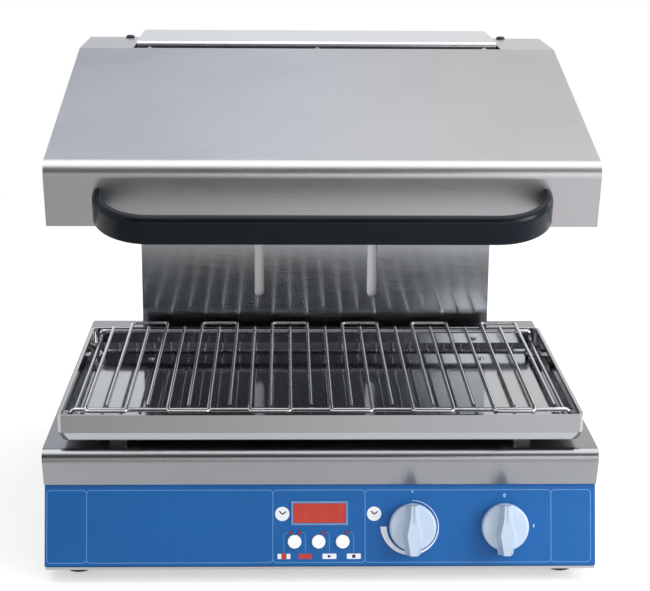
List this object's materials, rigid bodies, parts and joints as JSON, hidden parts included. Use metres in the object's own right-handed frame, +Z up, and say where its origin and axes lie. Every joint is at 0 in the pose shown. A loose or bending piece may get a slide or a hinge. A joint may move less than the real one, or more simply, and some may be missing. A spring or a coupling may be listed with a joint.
{
  "type": "salamander grill",
  "caption": "Table-top salamander grill: heated hood that slides on a rear column over a wire grid and drip tray, on a base with a control panel.",
  "frame": {"origin": "on the surface that the feet stand on, under the middle of the object's outline", "axes": "+Z up, +X to the right seen from the front, the control panel and handle face -Y"},
  "size_m": [0.6, 0.574, 0.543],
  "materials": {
    "stainless": "brushed",
    "polished_steel": "bright polished",
    "bright_wire": "polished",
    "blue_paint": "satin",
    "black_plastic": "satin",
    "grey_plastic": "satin",
    "white_plastic": "gloss",
    "red_lens": "gloss",
    "black_trim": "matt",
    "rubber": "matt",
    "screw_steel": "plain",
    "aluminium": "milled",
    "brass": "turned",
    "mineral_wool": "fibrous",
    "ceramic": "glazed",
    "element_sheath": "oxidised",
    "board_green": "satin"
  },
  "bodies": {
    "housing": {"base_body": "stainless", "base_deck": "stainless", "control_panel": "blue_paint", "rear_panel": "stainless", "rear_panel_screws": "screw_steel", "feet": "rubber", "tray_runners": "stainless", "column_front_plate": "polished_steel", "column_rear_cover": "stainless", "column_cap": "stainless", "column_screws": "screw_steel", "guide_rods": "polished_steel", "guide_blocks": "aluminium", "guide_top_bracket": "stainless", "gas_spring_cylinders": "black_trim", "timer_switch": "black_trim", "power_switch": "black_trim", "display_bezel": "black_trim", "display_lens": "red_lens", "display_module": "black_trim", "control_board": "board_green", "board_spacers": "white_plastic", "tact_switches": "black_trim", "indicator_lenses": "red_lens", "cable_gland": "black_trim", "terminal_block": "white_plastic"},
    "hood": {"hood_shell": "stainless", "hood_top_screws": "black_trim", "hood_liner": "stainless", "hood_base_frame": "stainless", "reflector": "polished_steel", "insulation": "mineral_wool", "front_element": "element_sheath", "middle_element": "element_sheath", "rear_element": "element_sheath", "element_supports": "stainless", "element_terminals": "ceramic", "handle": "black_plastic", "handle_screws": "screw_steel", "left_lift_arm": "stainless", "right_lift_arm": "stainless", "arm_bolts": "screw_steel", "carriage_plate": "aluminium", "bush_housings": "aluminium", "linear_bushes": "brass", "gas_spring_rods": "polished_steel", "slot_covers": "stainless"},
    "tray": {"drip_tray": "polished_steel", "tray_guides": "stainless", "tray_rivets": "screw_steel", "grid_tabs": "polished_steel"},
    "grid": {"grid_frame": "bright_wire", "grid_wires": "bright_wire"},
    "timer_control": {"timer_knob": "grey_plastic", "timer_shaft": "screw_steel"},
    "power_control": {"power_knob": "grey_plastic", "power_shaft": "screw_steel"},
    "left_key": {"left_button": "white_plastic"},
    "middle_key": {"middle_button": "white_plastic"},
    "right_key": {"right_button": "white_plastic"}
  },
  "joints": [
    {"name": "hood_slide", "type": "slide", "parent": "housing", "child": "hood", "axis": [0, 0, 1], "range_m": [-0.17, 0]},
    {"name": "tray_slide", "type": "slide", "parent": "housing", "child": "tray", "axis": [0, -1, 0], "range_m": [0, 0.24]},
    {"name": "grid_lift", "type": "slide", "parent": "tray", "child": "grid", "axis": [0, 0, 1], "range_m": [0, 0.025]},
    {"name": "timer_knob_turn", "type": "hinge", "parent": "housing", "child": "timer_control", "pos_m": [0.0996, -0.22428, 0.06058], "axis": [0, 0.9613, -0.2756], "range_deg": [0, 270]},
    {"name": "power_knob_turn", "type": "hinge", "parent": "housing", "child": "power_control", "pos_m": [0.2003, -0.22428, 0.06058], "axis": [0, 0.9613, -0.2756], "range_deg": [0, 90]},
    {"name": "left_button_press", "type": "slide", "parent": "housing", "child": "left_key", "axis": [0, 0.9613, -0.2756], "range_m": [0, 0.0012], "stiffness_N_per_m": 400},
    {"name": "middle_button_press", "type": "slide", "parent": "housing", "child": "middle_key", "axis": [0, 0.9613, -0.2756], "range_m": [0, 0.0012], "stiffness_N_per_m": 400},
    {"name": "right_button_press", "type": "slide", "parent": "housing", "child": "right_key", "axis": [0, 0.9613, -0.2756], "range_m": [0, 0.0012], "stiffness_N_per_m": 400}
  ]
}
